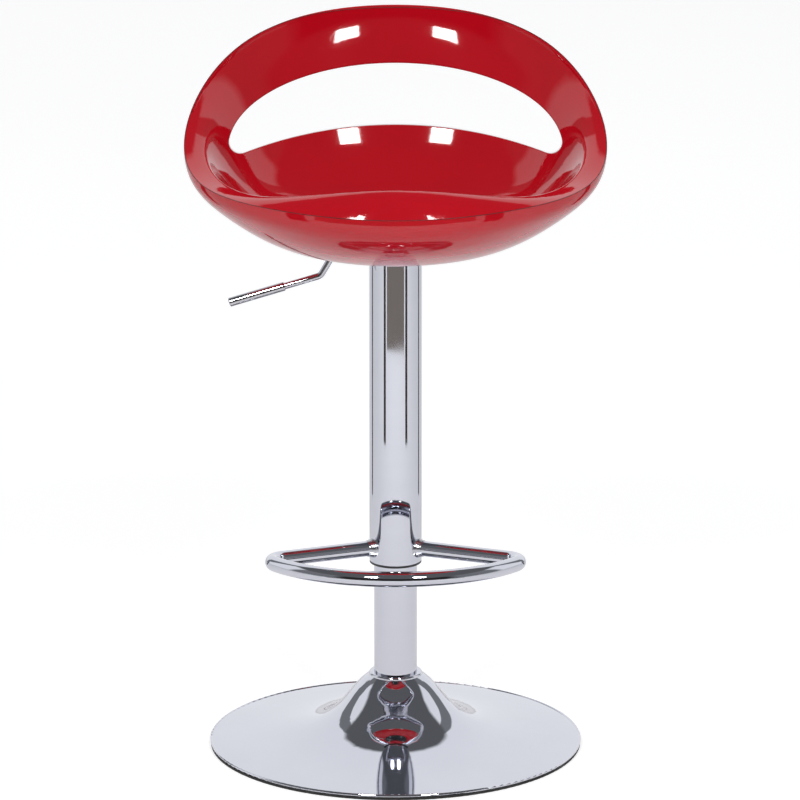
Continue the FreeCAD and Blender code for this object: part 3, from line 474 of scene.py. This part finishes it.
def floor_fan(name, direction, half_width, near, colour, steps=24):
    shape = bmesh.new()
    turned = math.radians(direction - half_width)
    out = Vector((math.sin(turned), -math.cos(turned), 0.0))
    ends = [shape.verts.new(out * reach) for reach in (near, FAN_REACH)]
    edge = shape.edges.new(ends)
    bmesh.ops.spin(shape, geom=ends + [edge], cent=(0, 0, 0), axis=(0, 0, 1), dvec=(0, 0, 0),
                   angle=math.radians(2 * half_width), steps=steps, use_duplicate=False)
    mesh = bpy.data.meshes.new(name)
    shape.to_mesh(mesh)
    shape.free()
    fan = bpy.data.objects.new(name, mesh)
    bpy.context.scene.collection.objects.link(fan)
    fan.location.z = FAN_HEIGHT
    fan.visible_camera = False
    fan.visible_diffuse = False
    fan.visible_shadow = False
    paint = Finish(name)
    boards = paint.noise(0.12, detail=2.0)
    mesh.materials.append(paint.surface(
        Base_Color=(0.0, 0.0, 0.0, 1.0), Roughness=1.0, Specular_IOR_Level=0.0, Emission_Strength=1.0,
        Emission_Color=paint.blend(boards, [shade * 0.75 for shade in colour], colour)))


for fan in FANS:
    floor_fan(*fan)
print("fans", len(FANS))

# %% [markdown]
# Two softboxes
# Two square softboxes stand on the camera's side, left and right of it and above the seat. They
# light the red shell from the front, and they are what the pairs of square glints on it are.
# %% Softboxes
SOFTBOX_DISTANCE = 4.0
SOFTBOX_BEARING = math.radians(21.0)
SOFTBOX_ELEVATION = math.radians(33.0)
SOFTBOX_SIZE = 0.60
SOFTBOX_POWER = 48.0


def softbox(name, side):
    light = bpy.data.lights.new(name, "AREA")
    light.shape = "SQUARE"
    light.size = SOFTBOX_SIZE
    light.energy = SOFTBOX_POWER
    lamp = bpy.data.objects.new(name, light)
    bpy.context.scene.collection.objects.link(lamp)
    level = SOFTBOX_DISTANCE * math.cos(SOFTBOX_ELEVATION)
    aim = Vector((0.0, 0.0, cad_high.z))
    lamp.location = aim + Vector((side * level * math.sin(SOFTBOX_BEARING),
                                  -level * math.cos(SOFTBOX_BEARING),
                                  SOFTBOX_DISTANCE * math.sin(SOFTBOX_ELEVATION)))
    lamp.rotation_euler = (aim - lamp.location).to_track_quat("-Z", "Y").to_euler()
    lamp.visible_camera = False


softbox("softbox_left", -1)
softbox("softbox_right", 1)
print("softboxes", SOFTBOX_DISTANCE, "m away")

# %% [markdown]
# A sheet of light overhead
# The dark ceiling gives the base its bold reflections but little light. A large, weak light above
# the stool makes up for it: it lights paper and plastic, and no reflection shows it.
# %% Overhead fill
FILL_HEIGHT = 5.0
FILL_SIZE = 10.0
FILL_POWER = 140.0


def overhead_fill():
    light = bpy.data.lights.new("overhead_fill", "AREA")
    light.size = FILL_SIZE
    light.energy = FILL_POWER
    lamp = bpy.data.objects.new("overhead_fill", light)
    bpy.context.scene.collection.objects.link(lamp)
    lamp.location.z = FILL_HEIGHT
    lamp.visible_camera = False
    lamp.visible_glossy = False


overhead_fill()
print("lights", len(bpy.data.lights))

# %% [markdown]
# The camera
# A long lens from 12 m away, looking down a little, keeps the stool's upright lines upright and
# its round base a calm ellipse.
# %% Camera
VIEW_DISTANCE = 12.0
VIEW_DOWN = math.radians(16.5)
VIEW_HEIGHT = 0.38
AIM_RIGHT = 0.0046
AIM_DROP = 0.0093
LONG_LENS = 524.3
camera_data = bpy.data.cameras.new("camera")
camera_data.lens = LONG_LENS
camera_data.sensor_width = 36.0
camera_data.clip_end = 200.0
camera = bpy.data.objects.new("camera", camera_data)
bpy.context.scene.collection.objects.link(camera)
camera.location = (0.0, -VIEW_DISTANCE * math.cos(VIEW_DOWN),
                   VIEW_HEIGHT + VIEW_DISTANCE * math.sin(VIEW_DOWN))
aim = Vector((AIM_RIGHT, 0.0, VIEW_HEIGHT - AIM_DROP))
camera.rotation_euler = (aim - camera.location).to_track_quat("-Z", "Y").to_euler()
bpy.context.scene.camera = camera
bpy.context.scene.view_settings.view_transform = "Standard"
print("camera", [round(value, 3) for value in camera.location])
